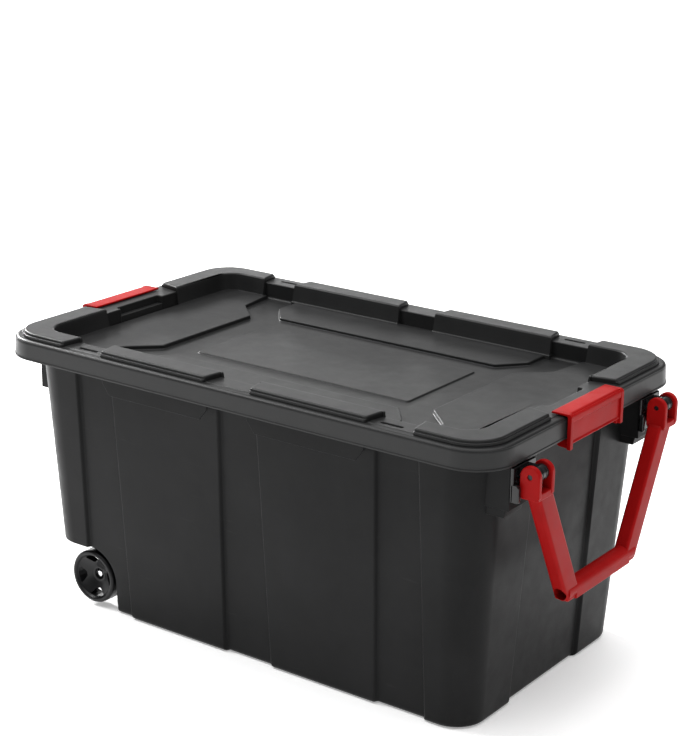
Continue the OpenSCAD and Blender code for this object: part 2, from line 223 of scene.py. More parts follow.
def lathe(profile, axis_point, along="y", n=64, a0=0.0, geo=None, closed=True):
    """Turn (radius, distance along the axis) points round an axis. The profile is a closed loop."""
    rings = []
    for k in range(n):
        a = 2 * math.pi * k / n + a0
        rings.append([(r, h, a) for r, h in profile])
    v, f, m = [], [], len(profile)
    for ring in rings:
        for r, h, a in ring:
            if along == "y":
                v.append((axis_point[0] + r * math.cos(a), axis_point[1] + h, axis_point[2] + r * math.sin(a)))
            elif along == "z":
                v.append((axis_point[0] + r * math.cos(a), axis_point[1] + r * math.sin(a), axis_point[2] + h))
    for k in range(n):
        b, c = k * m, ((k + 1) % n) * m
        for i in range(m if closed else m - 1):
            j = (i + 1) % m
            f.append([b + i, c + i, c + j, b + j])
    g = geo or Geo()
    t = Geo().add(v, f)
    bm = bmesh.new()
    vs = [bm.verts.new(p) for p in t.v]
    for q in t.f:
        bm.faces.new([vs[i] for i in q])
    bmesh.ops.remove_doubles(bm, verts=bm.verts, dist=0.001)
    bmesh.ops.recalc_face_normals(bm, faces=bm.faces)
    bm.verts.index_update()
    out = ([tuple(x.co) for x in bm.verts], [[x.index for x in q.verts] for q in bm.faces])
    bm.free()
    return g.add(*out)


def make(name, geo, mat, body, sharp=38, weighted=True):
    me = bpy.data.meshes.new(name)
    me.from_pydata([(x * MM, y * MM, z * MM) for x, y, z in geo.v], [], geo.f)
    me.validate()
    me.update()
    me.polygons.foreach_set("use_smooth", [True] * len(me.polygons))
    me.set_sharp_from_angle(angle=math.radians(sharp))
    ob = bpy.data.objects.new(name, me)
    scene.collection.objects.link(ob)
    me.materials.append(mat)
    if weighted:
        w = ob.modifiers.new("weighted", "WEIGHTED_NORMAL")
        w.keep_sharp = True
        w.weight = 60
    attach(ob, body)
    return ob


def temp(geo):
    me = bpy.data.meshes.new("tmp")
    bm = bmesh.new()
    vs = [bm.verts.new(p) for p in geo.v]
    for f in geo.f:
        try:
            bm.faces.new([vs[i] for i in f])
        except ValueError:
            pass
    bmesh.ops.remove_doubles(bm, verts=bm.verts, dist=0.005)
    bmesh.ops.recalc_face_normals(bm, faces=bm.faces)
    bm.to_mesh(me)
    bm.free()
    ob = bpy.data.objects.new("tmp", me)
    scene.collection.objects.link(ob)
    return ob


def boolean(base, *steps):
    """base and each step's shape are closed shapes; steps are (operation, shape)."""
    ob, others = temp(base), []
    for op, g in steps:
        o = temp(g)
        others.append(o)
        m = ob.modifiers.new("b", "BOOLEAN")
        m.operation, m.solver, m.object = op, "EXACT", o
    bpy.context.view_layer.update()
    dg = bpy.context.evaluated_depsgraph_get()
    me = bpy.data.meshes.new_from_object(ob.evaluated_get(dg))
    out = Geo().add([tuple(v.co) for v in me.vertices], [list(p.vertices) for p in me.polygons])
    for o in [ob] + others:
        d = o.data
        bpy.data.objects.remove(o)
        bpy.data.meshes.remove(d)
    bpy.data.meshes.remove(me)
    return out


# ------------------------------------------------------------------ materials


def nodes_of(name):
    m = bpy.data.materials.new(name)
    m.use_nodes = True
    nt = m.node_tree
    nt.nodes.clear()
    out = nt.nodes.new("ShaderNodeOutputMaterial")
    sh = nt.nodes.new("ShaderNodeBsdfPrincipled")
    nt.links.new(sh.outputs["BSDF"], out.inputs["Surface"])
    return m, nt, sh


def noise(nt, co, scale, detail=3, rough=0.55):
    n = nt.nodes.new("ShaderNodeTexNoise")
    n.inputs["Scale"].default_value = scale
    n.inputs["Detail"].default_value = detail
    n.inputs["Roughness"].default_value = rough
    nt.links.new(co, n.inputs["Vector"])
    return n.outputs["Fac"]


def ramp(nt, fac, stops):
    r = nt.nodes.new("ShaderNodeValToRGB")
    el = r.color_ramp.elements
    while len(el) < len(stops):
        el.new(0.5)
    for e, (p, c) in zip(el, stops):
        e.position = p
        e.color = (*c, 1) if len(c) == 3 else c
    nt.links.new(fac, r.inputs["Fac"])
    return r.outputs["Color"]


def maprange(nt, fac, a, b, c, d):
    r = nt.nodes.new("ShaderNodeMapRange")
    for i, v in enumerate((a, b, c, d)):
        r.inputs[1 + i].default_value = v
    nt.links.new(fac, r.inputs[0])
    return r.outputs[0]


def mix(nt, fac, a, b, mode="MIX"):
    m = nt.nodes.new("ShaderNodeMix")
    m.data_type = "RGBA"
    m.blend_type = mode
    if isinstance(fac, (int, float)):
        m.inputs["Factor"].default_value = fac
    else:
        nt.links.new(fac, m.inputs["Factor"])
    for sock, v in ((m.inputs[6], a), (m.inputs[7], b)):
        if isinstance(v, tuple):
            sock.default_value = (*v, 1)
        else:
            nt.links.new(v, sock)
    return m.outputs[2]


def plastic(name, base, light, dark, rough=(0.42, 0.58), grain=0.12, grain_scale=900,
            scuff=0.25, spec=0.5, flow=0.0, edge_wear_and_highlight=0.25):
    """Moulded plastic: soft mottling, faint flow streaks, a fine spark-eroded grain,
    scuffs that polish or whiten the surface, and convex edges painted lighter, partly as wear and partly as a painted
    edge highlight."""
    m, nt, sh = nodes_of(name)
    tc = nt.nodes.new("ShaderNodeTexCoord")
    co = tc.outputs["Object"]
    big = noise(nt, co, 5.5, 4)
    mid = noise(nt, co, 42, 4)
    col = ramp(nt, big, [(0.32, dark), (0.5, base), (0.7, light)])
    col = mix(nt, maprange(nt, mid, 0.35, 0.7, 0.0, 0.35), col, light)
    # long faint flow marks along the walls
    mp = nt.nodes.new("ShaderNodeMapping")
    mp.inputs["Scale"].default_value = (14, 14, 1.2)
    nt.links.new(co, mp.inputs["Vector"])
    streak = noise(nt, mp.outputs["Vector"], 3.0, 5, 0.6)
    if flow:
        col = mix(nt, maprange(nt, streak, 0.52, 0.75, 0.0, flow), col, light)
    # scuffs: stretched thin noise
    ms = nt.nodes.new("ShaderNodeMapping")
    ms.inputs["Rotation"].default_value = (0.3, 0.2, 0.7)
    ms.inputs["Scale"].default_value = (3, 45, 30)
    nt.links.new(co, ms.inputs["Vector"])
    sc = noise(nt, ms.outputs["Vector"], 4.0, 6, 0.65)
    scm = maprange(nt, sc, 0.64, 0.74, 0.0, scuff)
    col = mix(nt, scm, col, tuple(min(1, c * 1.9 + 0.01) for c in light))
    # convex edges painted lighter from the curvature of the mesh: partly wear, partly a painted edge highlight
    ge = nt.nodes.new("ShaderNodeNewGeometry")
    edge_wear_and_highlight_mask = maprange(nt, ge.outputs["Pointiness"], 0.53, 0.62, 0.0, edge_wear_and_highlight)
    col = mix(nt, edge_wear_and_highlight_mask, col, tuple(min(1, c * 1.8 + 0.012) for c in light))
    nt.links.new(col, sh.inputs["Base Color"])
    rg = maprange(nt, mid, 0.3, 0.7, rough[0], rough[1])
    nt.links.new(rg, sh.inputs["Roughness"])
    sh.inputs["Specular IOR Level"].default_value = spec
    # grain and a slow waviness of the wall
    g = noise(nt, co, grain_scale, 2, 0.5)
    w = noise(nt, co, 9, 2, 0.5)
    b1 = nt.nodes.new("ShaderNodeBump")
    b1.inputs["Strength"].default_value = grain
    b1.inputs["Distance"].default_value = 0.0004
    nt.links.new(g, b1.inputs["Height"])
    b2 = nt.nodes.new("ShaderNodeBump")
    b2.inputs["Strength"].default_value = 0.12
    b2.inputs["Distance"].default_value = 0.004
    nt.links.new(w, b2.inputs["Height"])
    nt.links.new(b1.outputs["Normal"], b2.inputs["Normal"])
    nt.links.new(b2.outputs["Normal"], sh.inputs["Normal"])
    return m


def metal(name, base, rough=(0.2, 0.4), lines=(2, 400, 2), dirt=0.3):
    m, nt, sh = nodes_of(name)
    tc = nt.nodes.new("ShaderNodeTexCoord")
    co = tc.outputs["Object"]
    n1 = noise(nt, co, 60, 5)
    mp = nt.nodes.new("ShaderNodeMapping")
    mp.inputs["Scale"].default_value = lines
    nt.links.new(co, mp.inputs["Vector"])
    n2 = noise(nt, mp.outputs["Vector"], 8, 3)
    dark = tuple(c * 0.45 for c in base)
    col = mix(nt, maprange(nt, n1, 0.45, 0.75, 0.0, dirt), base, dark)
    nt.links.new(col, sh.inputs["Base Color"])
    nt.links.new(maprange(nt, n2, 0.3, 0.7, rough[0], rough[1]), sh.inputs["Roughness"])
    sh.inputs["Metallic"].default_value = 1.0
    b = nt.nodes.new("ShaderNodeBump")
    b.inputs["Strength"].default_value = 0.15
    b.inputs["Distance"].default_value = 0.0003
    nt.links.new(n2, b.inputs["Height"])
    nt.links.new(b.outputs["Normal"], sh.inputs["Normal"])
    return m


M_TUB = plastic("tub_plastic", (0.0108, 0.0109, 0.0111), (0.0145, 0.0146, 0.0149), (0.0085, 0.0086, 0.0089),
                rough=(0.34, 0.46), grain=0.14, flow=0.25, spec=0.08)
M_LID = plastic("lid_plastic", (0.0150, 0.0152, 0.0153), (0.0195, 0.0197, 0.0199), (0.0120, 0.0122, 0.0124),
                rough=(0.33, 0.41), grain=0.12, flow=0.0, spec=0.2)
M_RED = plastic("red_plastic", (0.30, 0.0045, 0.0045), (0.35, 0.007, 0.007), (0.25, 0.0035, 0.0035),
                rough=(0.32, 0.44), grain=0.05, scuff=0.04, spec=0.06, edge_wear_and_highlight=0.1)
M_BLACK = plastic("bracket_plastic", (0.005, 0.005, 0.0055), (0.009, 0.009, 0.010), (0.0035, 0.0035, 0.004),
                  rough=(0.12, 0.24), grain=0.03, scuff=0.1, spec=0.42)
M_WHEEL = plastic("wheel_plastic", (0.006, 0.006, 0.0065), (0.011, 0.011, 0.012), (0.004, 0.004, 0.0045),
                  rough=(0.28, 0.42), grain=0.05, scuff=0.12, spec=0.22)
M_STEEL = metal("axle_steel", (0.62, 0.62, 0.64), (0.22, 0.4), (2, 300, 2))
M_CAP = metal("cap_metal", (0.75, 0.75, 0.77), (0.12, 0.25), (200, 4, 200), dirt=0.12)
M_PIN = metal("pin_black", (0.03, 0.03, 0.032), (0.3, 0.5), (2, 300, 2))

# ------------------------------------------------------------------ dimensions
# the same numbers as the frame, in millimetres
LX, LY = 444.0, 271.5
LAND, SKIRT, PANEL, RAIL = 440.0, 409.0, 413.0, 447.5
RECX, RECY = 388.0, 217.5

# ------------------------------------------------------------------------- lid


def fillet(d0, z0, r, a0, a1, n):
    """Arc of (inset, z) levels about a centre."""
    return [(d0 + r * math.cos(math.radians(a0 + (a1 - a0) * i / n)),
             z0 + r * math.sin(math.radians(a0 + (a1 - a0) * i / n))) for i in range(n + 1)]


lid = Geo()
NC = 14
land_out = 439.2
skirt = [(2.6, 437.0), (2.6, 410.2), (2.2, 409.2), (1.4, 409.0), (0.5, 409.2), (0.05, 409.8), (0.0, 411.6),
         (0.35, 412.4), (0.9, 413.0), (1.9, 433.6)]
skirt += fillet(1.9 + 5.6, land_out - 5.6, 5.6, 180, 90, 6)
skirt += [(14.2, land_out), (14.7, land_out + 0.1), (15.3, 439.75), (15.9, 440.0)]
rings = [[(x, y, z) for x, y in rr(LX - d, LY - d, 65 - d, NC)] for d, z in skirt]
loft(rings, geo=lid)

# plan of the sunken opening: set-back pockets along the long sides, finger pockets at the ends
rec = []
bx, by, px = RECX + 0.8, RECY + 7.5, RECX + 11.5
rec = [(-bx, -by), (bx, -by), (bx, -50), (px, -50), (px, 50), (bx, 50), (bx, by), (-bx, by), (-bx, 50), (-px, 50), (-px, -50), (-bx, -50)]
rec = round_poly(ccw(rec), [8, 8, 2, 4, 4, 2, 8, 8, 2, 4, 4, 2], 4)
wall = fillet(-1.6, 438.4, 1.6, 90, 0, 4) + [(1.2, 418.0)] + fillet(6.2, 418.0, 5.0, 180, 270, 5)[1:]
rings = [[(x, y, z) for x, y in inset(rec, d)] for d, z in wall]
loft(rings, geo=lid)
top_hole = [(x, y) for x, y, z in rings[0]]

slots_top, slots_bot = [], []
for sx in (-1, 1):
    for sy in (-1, 1):
        sl = [(x + sx * 275, y + sy * 246) for x, y in rr(17.6, 2.7, 2.2, 3)]
        wide = [(x + sx * 275, y + sy * 246) for x, y in rr(18.5, 3.6, 3.0, 3)]
        slots_top.append(wide)
        slots_bot.append(sl)
        loft([[(x, y, 440.0) for x, y in wide], [(x, y, 439.3) for x, y in inset(wide, 0.55)],
              [(x, y, 438.4) for x, y in sl], [(x, y, 437.0) for x, y in sl]], geo=lid)
plate([(x, y) for x, y in rr(LX - 15.9, LY - 15.9, 65 - 15.9, NC)], [top_hole] + slots_top, 440.0, True, lid)
plate([(x, y) for x, y in inset(rec, 6.2)], [], 413.0, True, lid)
# underside
ux, uy, up = bx + 3, by + 3, px + 1.5
under = [(-ux, -uy), (ux, -uy), (ux, -51), (up, -51), (up, 51), (ux, 51), (ux, uy), (-ux, uy), (-ux, 51), (-up, 51), (-up, -51), (-ux, -51)]
under = round_poly(ccw(under), [11, 11, 1, 2, 2, 1, 11, 11, 1, 2, 2, 1], 4)
plate([(x, y) for x, y in rr(LX - 2.6, LY - 2.6, 65 - 2.6, NC)], [under] + slots_bot, 437.0, False, lid)
loft([[(x, y, 437.0) for x, y in under], [(x, y, 410.8) for x, y in inset(under, 1.0)],
      [(x, y, 410.0) for x, y in inset(under, 2.0)]], cap_end=True, geo=lid, flip=True)

# stacking rails in two tiers: straight ones along the sides, and one round each corner
up_levels = [(0.0, 438.2), (0.0, 444.9), (0.35, 446.0), (1.1, 446.9), (2.0, 447.35), (3.0, 447.5)]
low_levels = [(0.0, 438.3), (0.05, 442.4), (0.3, 443.2), (0.8, 443.65), (1.6, 443.8)]


def arc_ell(cx, cy, rx_, ry_, a0, a1, n):
    return [(cx + rx_ * math.cos(math.radians(a0 + (a1 - a0) * i / n)),
             cy + ry_ * math.sin(math.radians(a0 + (a1 - a0) * i / n))) for i in range(n + 1)]


def signed(pts, sx, sy):
    return [(sx * x, sy * y) for x, y in pts]


def tiers(sx, sy):
    side_up = [(35.2, 221.9), (246.4, 221.9), (240.8, 257.5), (40.7, 257.5)]
    side_low = [(35.6, 224.6), (246.0, 224.6), (240.2, 260.8), (41.3, 260.8)]
    cor_up = [(311.6, 221.9)] + arc_ell(358, 187.5, 30.2, 34.4, 90, 0, 10) + [(388.2, 85.1), (428, 93.9)]
    cor_up += arc_ell(377, 206.5, 51, 51, 0, 90, 12) + [(316.3, 257.5)]
    cor_low = [(312.2, 224.6)] + arc_ell(358, 187.5, 32.9, 37.1, 90, 0, 10) + [(390.9, 86), (431.3, 94.6)]
    cor_low += arc_ell(377, 206.5, 54.3, 54.3, 0, 90, 12) + [(316.9, 260.8)]
    r4 = [4.2] * 4
    rc = [4.2] + [0] * 11 + [4.2, 4.2] + [0] * 13 + [4.2]
    for pts, rad, lv in ((side_up, r4, up_levels), (side_low, r4, low_levels), (cor_up, rc, up_levels), (cor_low, rc, low_levels)):
        q = signed(pts, sx, sy)
        k = list(rad)
        if area2(q) < 0:
            q.reverse(); k.reverse()
        stack(round_poly(q, k, 4), lv, geo=lid)


# drafted inner faces below the rails: (how far in from the top edge, height)
face = [(7.4, 412.9), (7.2, 418.0), (6.9, 418.5), (5.9, 418.8), (5.0, 419.4), (4.5, 420.6), (2.7, 429.0), (0.9, 440.0), (0.1, 444.7),
        (-0.3, 445.9), (-1.1, 446.8), (-2.0, 447.25), (-3.0, 447.42)]


def faces(sx, sy):
    a, b = [], []
    for d, z in face:
        g = 0.25 * max(d, 0) if d > 0 else d
        a.append([(34.9 - g, 221.6 - d), (246.7 + g, 221.6 - d), (246.7 + g, 226.4), (34.9 - g, 226.4)])
        q = [(311.3 - g, 226.4), (311.3 - g, 221.6 - d)] + arc_ell(358, 187.5, 29.9 - d, 34.1 - d, 90, 0, 10)[0:] + [(387.9 - d, 84.9 - g), (390.2, 84.9 - g)]
        q += arc_ell(382.2, 218.4, 8, 8, 0, 90, 4)
        b.append(q)
    for rr_ in (a, b):
        rr2 = []
        for q, (d, z) in zip(rr_, face):
            q = signed(q, sx, sy)
            rr2.append(q)
        if area2(rr2[0]) < 0:
            rr2 = [list(reversed(q)) for q in rr2]
        loft([[(x, y, z) for x, y in q] for q, (d, z) in zip(rr2, face)], True, True, geo=lid)


for sy in (-1, 1):
    for sx in (-1, 1):
        tiers(sx, sy)
        faces(sx, sy)


# raised fields on the sunken panel
def field_levels(h, k=1.0):
    return [(-1.6 * k, 412.9), (-0.8 * k, 413.2), (-0.2 * k, 413.8), (0.0, 413 + h - 1.7 * k), (0.4 * k, 413 + h - 0.9 * k),
            (1.1 * k, 413 + h - 0.3 * k), (2.3 * k, 413 + h)]


fields = []
for s in (-1, 1):
    fields.append(([(s * 385, -221), (s * 304, -221), (s * 294, -150), (s * 249, -107), (s * 249, 107),
                    (s * 294, 150), (s * 304, 221), (s * 385, 221)], field_levels(6.5), [20, 3, 14, 6, 6, 14, 3, 20]))
    fields.append(([(-205, s * 128), (205, s * 128), (240, s * 170), (240, s * 222), (-240, s * 222), (-240, s * 170)],
                   field_levels(5.4), [8, 8, 8, 3, 3, 8]))
fields.append(([(-195, -90), (195, -90), (195, 90), (-195, 90)], field_levels(2.3, 0.75), [5, 5, 5, 5]))
for pts, lv, rad in fields:
    if area2(pts) < 0:
        pts, rad = list(reversed(pts)), list(reversed(rad))
    stack(round_poly(pts, rad, 4), lv, geo=lid)
# floors of the finger pockets
for s in (-1, 1):
    p = ccw([(s * 389, -51), (s * 399.4, -51), (s * 399.4, 51), (s * 389, 51)])
    stack(p, [(0, 413.2), (0.1, 427.0), (0.4, 427.7), (1.1, 428.0)], geo=lid)

lid_ob = make("lid_moulding", lid, M_LID, "lid_body")
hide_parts("lid")

# ------------------------------------------------------------------------- tub
DR, FD, RUN = 0.061, 6.0, 3.0


def tx(z): return LX - 31.5 - DR * (LAND - z)
def ty(z): return LY - 31.5 - DR * (LAND - z)
def tr(z): return 46 + 0.03 * z


def side(z, off):
    g, t = off * 0.6, LAND - z
    s = [34 + 0.025 * t + g, 242 - 0.025 * t - g, 312 + 0.013 * t + g]
    h, d = ty(z) - off, FD
    return [(-s[2], -h), (-s[2] + RUN, -h + d), (-s[1] - RUN, -h + d), (-s[1], -h), (-s[0], -h), (-s[0] + RUN, -h + d),
            (s[0] - RUN, -h + d), (s[0], -h), (s[1], -h), (s[1] + RUN, -h + d), (s[2] - RUN, -h + d), (s[2], -h)]


def end(z, off):
    w, h, d = 90 + 0.017 * (LAND - z) + off * 0.6, tx(z) - off, FD
    return [(h, -w), (h - d, -w + RUN), (h - d, w - RUN), (h, w)]


def outline(z, off, crease=3.2):
    r = tr(z) - off
    cx, cy = tx(z) - tr(z), ty(z) - tr(z)
    pts, rad = [], []

    def put(p, k):
        pts.extend(p)
        rad.extend([k] * len(p))

    neg = lambda q: [(-x, -y) for x, y in q]
    put(side(z, off), crease)
    put(arc(cx, -cy, r, 270, 360, 14), 0)
    put(end(z, off), crease)
    put(arc(cx, cy, r, 0, 90, 14), 0)
    put(neg(side(z, off)), crease)
    put(arc(-cx, cy, r, 90, 180, 14), 0)
    put(neg(end(z, off)), crease)
    put(arc(-cx, -cy, r, 180, 270, 14), 0)
    return round_poly(pts, rad, 3)


def shrunk(z, off, d, at):
    kx, ky = (tx(z) - d) / tx(z), (ty(z) - d) / ty(z)
    return [(x * kx, y * ky, at) for x, y in outline(z, off)]


bot = fillet(8, 8, 8, 270, 180, 5)
outer_rings = [shrunk(z, 0, d, z) for d, z in bot] + [[(x, y, z) for x, y in outline(z, 0)] for z in (60, 110, 200, 300, 380, 436.6)]
shell = loft(outer_rings, True, True)
bin_ = fillet(9, 12, 9, 270, 180, 4)
inner_rings = [shrunk(z, 3, d, z) for d, z in bin_] + [[(x, y, z) for x, y in outline(z, 3)] for z in (60, 110, 200, 300, 380, 436.6, 446)]
cavity = loft(inner_rings, True, True)


def notch(g):
    """Side view of the space under the wheel end, swept across the tub."""
    z0 = 52.0
    p = [(-600, -20), (-265 + g, -20), (-265 + g, z0)]
    p += arc(-315, z0, 50 + g, 0, 90, 14)[1:]
    p += [(-600, z0 + 50 + g)]
    return prism(p, "y", -400, 400)


flange = Geo()
fl = [(30, 431), (3.2, 431), (3.0, 430.6), (3.0, 417.0), (2.5, 416.3), (0.6, 416.3), (0, 417.0), (0, 431.8), (0.7, 433.4), (2.3, 434), (30, 434)]
loft([[(x, y, z) for x, y in rr(431.5 - d, 259 - d, 52.5 - d if d < 30 else 22.5, 10)] for d, z in fl]
     + [[(x, y, 431) for x, y in rr(401.5, 229, 22.5, 10)]], geo=flange)

tub = boolean(shell, ("UNION", flange), ("DIFFERENCE", boolean(cavity, ("DIFFERENCE", notch(3)))), ("DIFFERENCE", notch(0)))
slots = Geo()
for sx in (-1, 1):
    for sy in (-1, 1):
        prism([(x + sx * 275, y + sy * 246) for x, y in rr(18, 3, 2.5, 3)], "z", 427, 437, slots)
tub = boolean(tub, ("DIFFERENCE", slots))
tub_ob = make("tub_shell", tub, M_TUB, "tub_body", sharp=32)
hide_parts("tub")

extra = Geo()
for sy in (-1, 1):
    for sx in (-1, 1):
        g = prism([(sx * 36, 432), (sx * 36, 399), (sx * 50, 381), (sx * 224, 381), (sx * 238, 399), (sx * 238, 432)],
                  "y", *sorted((sy * 256.15, sy * 258.75)))
        extra.join(bevelled(g, 0.9))
for s in (-1, 1):
    # socket blocks for the handle, and the plain blocks at the other end
    y0, y1 = sorted((s * 155, s * 207))
    b = boolean(prism([(396, 342.5), (436, 342.5), (436, 406.6), (434, 407.4), (434, 433), (396, 433)], "y", y0, y1),
                ("DIFFERENCE", prism([(422, 358), (440, 358), (440, 403), (422, 403)], "y", *sorted((s * 171.7, s * 192.3)))))
    extra.join(bevelled(b, 1.4))
    extra.join(bevelled(prism([(396, 330), (427, 330), (430, 343.5), (396, 343.5)], "y", *sorted((s * 158, s * 204))), 1.2))
    extra.join(bevelled(prism([(-436, 335), (-396, 335), (-396, 433), (-436, 433)], "y", *sorted((s * 107, s * 187))), 1.4))
    # latch lugs
    for e in (-1, 1):
        p = [(e * 400, 426), (e * 400, 390), (e * 430, 395.2)] + [(e * (432 + 5.4 * math.sin(math.radians(t))), 400.5 - 5.4 * math.cos(math.radians(t))) for t in range(15, 100, 12)] + [(e * 434, 426)]
        extra.join(bevelled(prism(p, "y", s * 58 - 4, s * 58 + 4), 0.8))
# webs that carry the axle
for s in (-1, 1):
    for yc in (172, 70):
        p = [(-345, 103), (-329, 39), (-301, 37), (-266, 58), (-264, 72), (-278, 103)]
        extra.join(bevelled(prism(round_poly(ccw(p), [0, 8, 8, 4, 0, 0] if area2(p) > 0 else [0, 0, 4, 8, 8, 0], 4), "y", s * yc - 4, s * yc + 4), 0.7))
tub_x = make("tub_fittings", extra, M_TUB, "tub_body")

# --------------------------------------------------------------------- latches


def latch_geo():
    g = Geo()
    lx, lz = 444.8, 400.5

    def section(out, zlow, drop=0.0):
        o = lx + out
        top = 444.0 - drop
        p = [(419, 441.0), (lx - 3.2, 441.0)] + arc(lx - 3.2, 437.8, 3.2, 90, 0, 4)[1:] + [(lx, zlow), (o, zlow)]
        p += arc(o - 5.5, top - 5.5, 5.5, 0, 90, 6) + [(420, top), (419, top - 1)]
        return p

    g.join(bevelled(prism(section(3.0, lz), "y", -70, 70), 0.7, 2))
    for s in (-1, 1):
        g.join(bevelled(prism(section(5.9, lz - 7), "y", *sorted((s * 67.5, s * 75))), 1.2))
        arm = [(432, lz - 6), (lx + 2, lz - 7), (lx + 2, 407.2), (lx - 1, 407.2), (432, lz + 6)]
        arm += arc(432, lz, 6, 90, 270, 8)[1:-1]
        g.join(bevelled(prism(arm, "y", *sorted((s * 63, s * 71))), 0.8))
        lathe([(0, 46.9), (2.6, 46.9), (3, 47.3), (3, 64), (0, 64)] if s > 0 else [(0, -64), (3, -64), (3, -47.3), (2.6, -46.9), (0, -46.9)],
              (432, s * 6.5, lz), n=24, geo=g)
    # raised top border and thickened foot of the face
    bar = [(lx + 1, 431)] + [(lx + 4.2, 431.3), (lx + 5.4, 433.2)] + arc(lx + 5.4 - 5.2, 443.5 - 5.2, 5.2, 0, 60, 4) + [(lx + 1, 441.1)]
    g.join(bevelled(prism(bar, "y", -68.5, 68.5), 0.6, 2))
    low_bar = [(lx + 0.5, lz + 0.2), (lx + 4.3, lz + 0.2), (lx + 4.6, lz + 1.6), (lx + 3.0, lz + 4.2), (lx + 0.5, lz + 4.2)]
    g.join(bevelled(prism(low_bar, "y", -68.5, 68.5), 0.5, 2))
    return g


lg = latch_geo()
l1 = make("latch_face_handle_end", lg, M_RED, "latch_handle_end_body")
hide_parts("latch_handle_end")
l2 = make("latch_face_wheel_end", Geo().join(lg, Matrix.Rotation(math.pi, 3, "Z")), M_RED, "latch_wheel_end_body")
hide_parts("latch_wheel_end")

# ----------------------------------------------------------------- pull handle
PX, PZ, GZ = 461.0, 394.0, 195.0


def arm_o(z): return 146.9 + 0.505 * (z - 280)
def arm_i(z): return 110.0 + 0.505 * (z - 280)


hd = Geo()
for s in (-1, 1):
    for y0, y1 in ((191, 199), (158, 166)):
        p = arc(PX, PZ, 15, 0, 180, 20) + [(PX - 15, 366), (PX - 11, 362), (PX + 11, 362), (PX + 15, 366)]
        ear = bevelled(prism(p, "y", *sorted((s * y0, s * y1))), 1.6, 3)
        hole = lathe([(0, -30), (3.9, -30), (3.9, 30), (0, 30)], (PX, s * 178.5, PZ), n=28)
        hd.join(boolean(ear, ("DIFFERENCE", hole)))
    br = [(s * 159, 362), (s * 198, 362), (s * 198, 370), (s * 192, 372.5), (s * 180, 371), (s * 165, 372.5), (s * 159, 370)]
    hd.join(bevelled(prism(br, "x", PX - 14, PX + 14), 1.5))
    zb = GZ - 13
    p = [(s * arm_o(368), 368), (s * arm_o(zb + 3), zb + 3), (s * (arm_o(zb) - 4), zb), (s * (arm_i(zb) + 2), zb),
         (s * arm_i(zb + 6), zb + 6), (s * arm_i(366), 366), (s * 160, 370)]
    if area2(p) < 0:
        p.reverse()
    a = bevelled(prism(p, "x", PX - 11, PX + 11), 4.2, 3, 40)
    tube = lathe([(0, -60), (10, -60), (10, 60), (0, 60)], (PX, s * 75, GZ), n=40)
    hd.join(boolean(a, ("DIFFERENCE", tube)))
# grip tube, and the flat rib along its front
lathe([(10, -96), (12.4, -96), (13, -95.4), (13, 95.4), (12.4, 96), (10, 96)], (PX, 0, GZ), n=48, geo=hd)
hd.join(bevelled(prism([(PX + 2, GZ - 12.8), (PX + 13, GZ - 12.8), (PX + 13, GZ + 1.5), (PX + 2, GZ + 1.5)], "y", -78, 78), 1.6))
h_ob = make("pull_handle_bail", hd, M_RED, "pull_handle_body")
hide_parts("pull_handle")

# -------------------------------------------------------------------- brackets
for s, nm in ((-1, "left"), (1, "right")):
    g = Geo()
    yc = s * 178.5
    g.join(bevelled(prism([(s * 150, 356), (s * 207, 356), (s * 207, 405), (s * 150, 405)], "x", 436.3, 441.3), 1.4))
    g.join(bevelled(prism([(437, 356), (448, 356), (450, 358), (450, 378), (446, 382), (437, 382)], "y", *sorted((s * 200.5, s * 207))), 1.5, 3))
    g.join(bevelled(prism([(437, 356), (446, 356), (446, 379), (443.5, 382), (437, 382)], "y", *sorted((s * 150, s * 156.5))), 1.3, 3))
    g.join(bevelled(prism([(423, 358.4), (437, 358.4), (437, 402.6), (423, 402.6)], "y", *sorted((s * 172, s * 192))), 0.8))
    # pivot barrel with turned grooves
    prof = [(3.55, -11.5), (10.2, -11.5), (11, -10.7), (11, -6.2), (10, -5.4), (10, -3.4), (11, -2.6), (11, 2.6), (10, 3.4), (10, 5.4),
            (11, 6.2), (11, 10.7), (10.2, 11.5), (3.55, 11.5)]
    lathe(prof, (PX, yc, PZ), n=48, geo=g)
    g.join(bevelled(prism([(440, 386), (PX - 4, 385.4), (PX - 4, 402.6), (440, 403)], "y", yc - 11.4, yc + 11.4), 1.2))
    o = make("handle_bracket_moulding_" + nm, g, M_BLACK, "tub_body")
    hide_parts("handle_bracket_" + nm)

# ---------------------------------------------------------------------- wheels


